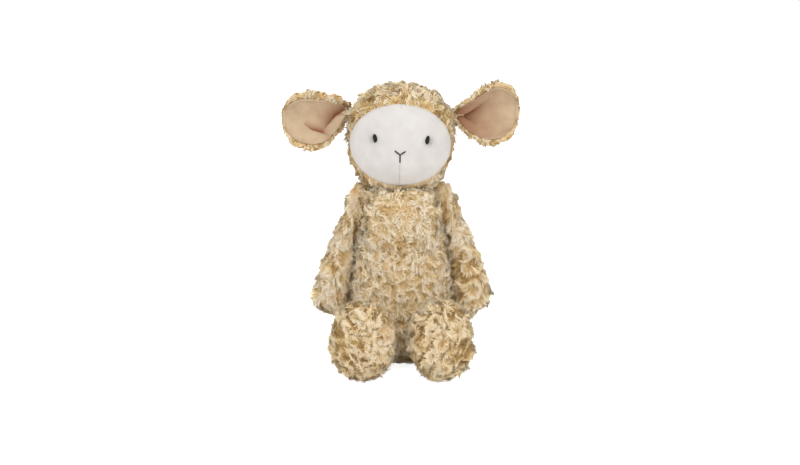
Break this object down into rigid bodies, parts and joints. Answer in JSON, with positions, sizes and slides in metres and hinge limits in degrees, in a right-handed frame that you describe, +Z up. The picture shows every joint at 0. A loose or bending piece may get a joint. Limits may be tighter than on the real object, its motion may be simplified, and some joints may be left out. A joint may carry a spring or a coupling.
{
  "type": "plush sheep",
  "caption": "Seated soft-toy sheep with curly fleece body, smooth oval face, floppy ears and loosely sewn arms and legs that swing at their roots.",
  "frame": {"origin": "middle of the flat seat that the toy sits on", "axes": "+Z up, the face looks along -Y, +X to the right of someone who looks at the face"},
  "size_m": [0.2401, 0.1814, 0.2822],
  "materials": {
    "curly_fleece": "matt",
    "white_velour": "matt",
    "peach_velour": "matt",
    "polyester_fibre": "matt",
    "pouch_cotton": "matt",
    "plastic_beans": "satin",
    "beige_thread": "matt",
    "black_thread": "matt",
    "black_gloss_plastic": "gloss",
    "white_washer_plastic": "satin"
  },
  "bodies": {
    "torso": {"body_front": "curly_fleece", "body_back": "curly_fleece", "body_stuffing": "polyester_fibre", "bean_pouch": "pouch_cotton", "seat_beans": "plastic_beans", "back_closing_stitches": "beige_thread"},
    "tail": {"tail": "curly_fleece"},
    "neck": {"neck_stuffing": "polyester_fibre"},
    "neck_ring": {"neck_thread": "beige_thread"},
    "head": {"head_cover": "curly_fleece", "head_stuffing": "polyester_fibre", "face_panel_left": "white_velour", "face_panel_right": "white_velour", "left_eye": "black_gloss_plastic", "right_eye": "black_gloss_plastic", "left_eye_washer": "white_washer_plastic", "right_eye_washer": "white_washer_plastic", "nose_stitch_left": "black_thread", "nose_stitch_right": "black_thread", "nose_stitch_stem": "black_thread"},
    "left_ear_root": {"left_ear_knot": "beige_thread"},
    "left_ear": {"left_ear_back": "curly_fleece", "left_ear_lining": "peach_velour"},
    "right_ear_root": {"right_ear_knot": "beige_thread"},
    "right_ear": {"right_ear_back": "curly_fleece", "right_ear_lining": "peach_velour"},
    "left_shoulder": {"left_shoulder_ring": "beige_thread"},
    "left_arm": {"left_arm_cover": "curly_fleece", "left_arm_stuffing": "polyester_fibre"},
    "right_shoulder": {"right_shoulder_ring": "beige_thread"},
    "right_arm": {"right_arm_cover": "curly_fleece", "right_arm_stuffing": "polyester_fibre"},
    "left_hip": {"left_hip_ring": "beige_thread"},
    "left_leg": {"left_leg_cover": "curly_fleece", "left_sole": "curly_fleece", "left_leg_stuffing": "polyester_fibre"},
    "right_hip": {"right_hip_ring": "beige_thread"},
    "right_leg": {"right_leg_cover": "curly_fleece", "right_sole": "curly_fleece", "right_leg_stuffing": "polyester_fibre"}
  },
  "joints": [
    {"name": "head_nod", "type": "hinge", "parent": "torso", "child": "neck", "pos_m": [0, 0, 0.176], "axis": [1, 0, 0], "range_deg": [-10, 10], "stiffness_Nm_per_rad": 0.6},
    {"name": "head_tilt", "type": "hinge", "parent": "neck", "child": "neck_ring", "pos_m": [0, 0, 0.176], "axis": [0, 1, 0], "range_deg": [-6, 6], "stiffness_Nm_per_rad": 0.6},
    {"name": "head_turn", "type": "hinge", "parent": "neck_ring", "child": "head", "pos_m": [0, 0, 0.176], "axis": [0, 0, 1], "range_deg": [-30, 30], "stiffness_Nm_per_rad": 0.1},
    {"name": "left_ear_fold", "type": "hinge", "parent": "head", "child": "left_ear_root", "pos_m": [-0.0554, -0.006, 0.2481], "axis": [0, 0, 1], "range_deg": [-30, 30], "stiffness_Nm_per_rad": 0.04},
    {"name": "left_ear_flap", "type": "hinge", "parent": "left_ear_root", "child": "left_ear", "pos_m": [-0.0554, -0.006, 0.2481], "axis": [0, 1, 0], "range_deg": [-20, 25], "stiffness_Nm_per_rad": 0.04},
    {"name": "right_ear_fold", "type": "hinge", "parent": "head", "child": "right_ear_root", "pos_m": [0.0539, -0.006, 0.24428], "axis": [0, 0, -1], "range_deg": [-30, 30], "stiffness_Nm_per_rad": 0.04},
    {"name": "right_ear_flap", "type": "hinge", "parent": "right_ear_root", "child": "right_ear", "pos_m": [0.0539, -0.006, 0.24428], "axis": [0, -1, 0], "range_deg": [-20, 25], "stiffness_Nm_per_rad": 0.04},
    {"name": "left_arm_swing", "type": "hinge", "parent": "torso", "child": "left_shoulder", "pos_m": [-0.04, 0.003, 0.16095], "axis": [-1, 0, 0], "range_deg": [-45, 90]},
    {"name": "left_arm_lift", "type": "hinge", "parent": "left_shoulder", "child": "left_arm", "pos_m": [-0.04, 0.003, 0.16095], "axis": [0, 1, 0], "range_deg": [0, 60]},
    {"name": "right_arm_swing", "type": "hinge", "parent": "torso", "child": "right_shoulder", "pos_m": [0.04, 0.003, 0.16095], "axis": [-1, 0, 0], "range_deg": [-45, 90]},
    {"name": "right_arm_lift", "type": "hinge", "parent": "right_shoulder", "child": "right_arm", "pos_m": [0.04, 0.003, 0.16095], "axis": [0, -1, 0], "range_deg": [0, 60]},
    {"name": "left_leg_swing", "type": "hinge", "parent": "torso", "child": "left_hip", "pos_m": [-0.02998, -0.04202, 0.016], "axis": [-1, 0, 0], "range_deg": [-80, 30]},
    {"name": "left_leg_splay", "type": "hinge", "parent": "left_hip", "child": "left_leg", "pos_m": [-0.02998, -0.04202, 0.016], "axis": [0, 0, -1], "range_deg": [0, 30], "stiffness_Nm_per_rad": 0.05},
    {"name": "right_leg_swing", "type": "hinge", "parent": "torso", "child": "right_hip", "pos_m": [0.02998, -0.04202, 0.016], "axis": [-1, 0, 0], "range_deg": [-80, 30]},
    {"name": "right_leg_splay", "type": "hinge", "parent": "right_hip", "child": "right_leg", "pos_m": [0.02998, -0.04202, 0.016], "axis": [0, 0, 1], "range_deg": [0, 30], "stiffness_Nm_per_rad": 0.05},
    {"name": "tail_flap", "type": "hinge", "parent": "torso", "child": "tail", "pos_m": [0, 0.04986, 0.046], "axis": [1, 0, 0], "range_deg": [0, 45], "stiffness_Nm_per_rad": 0.02}
  ]
}
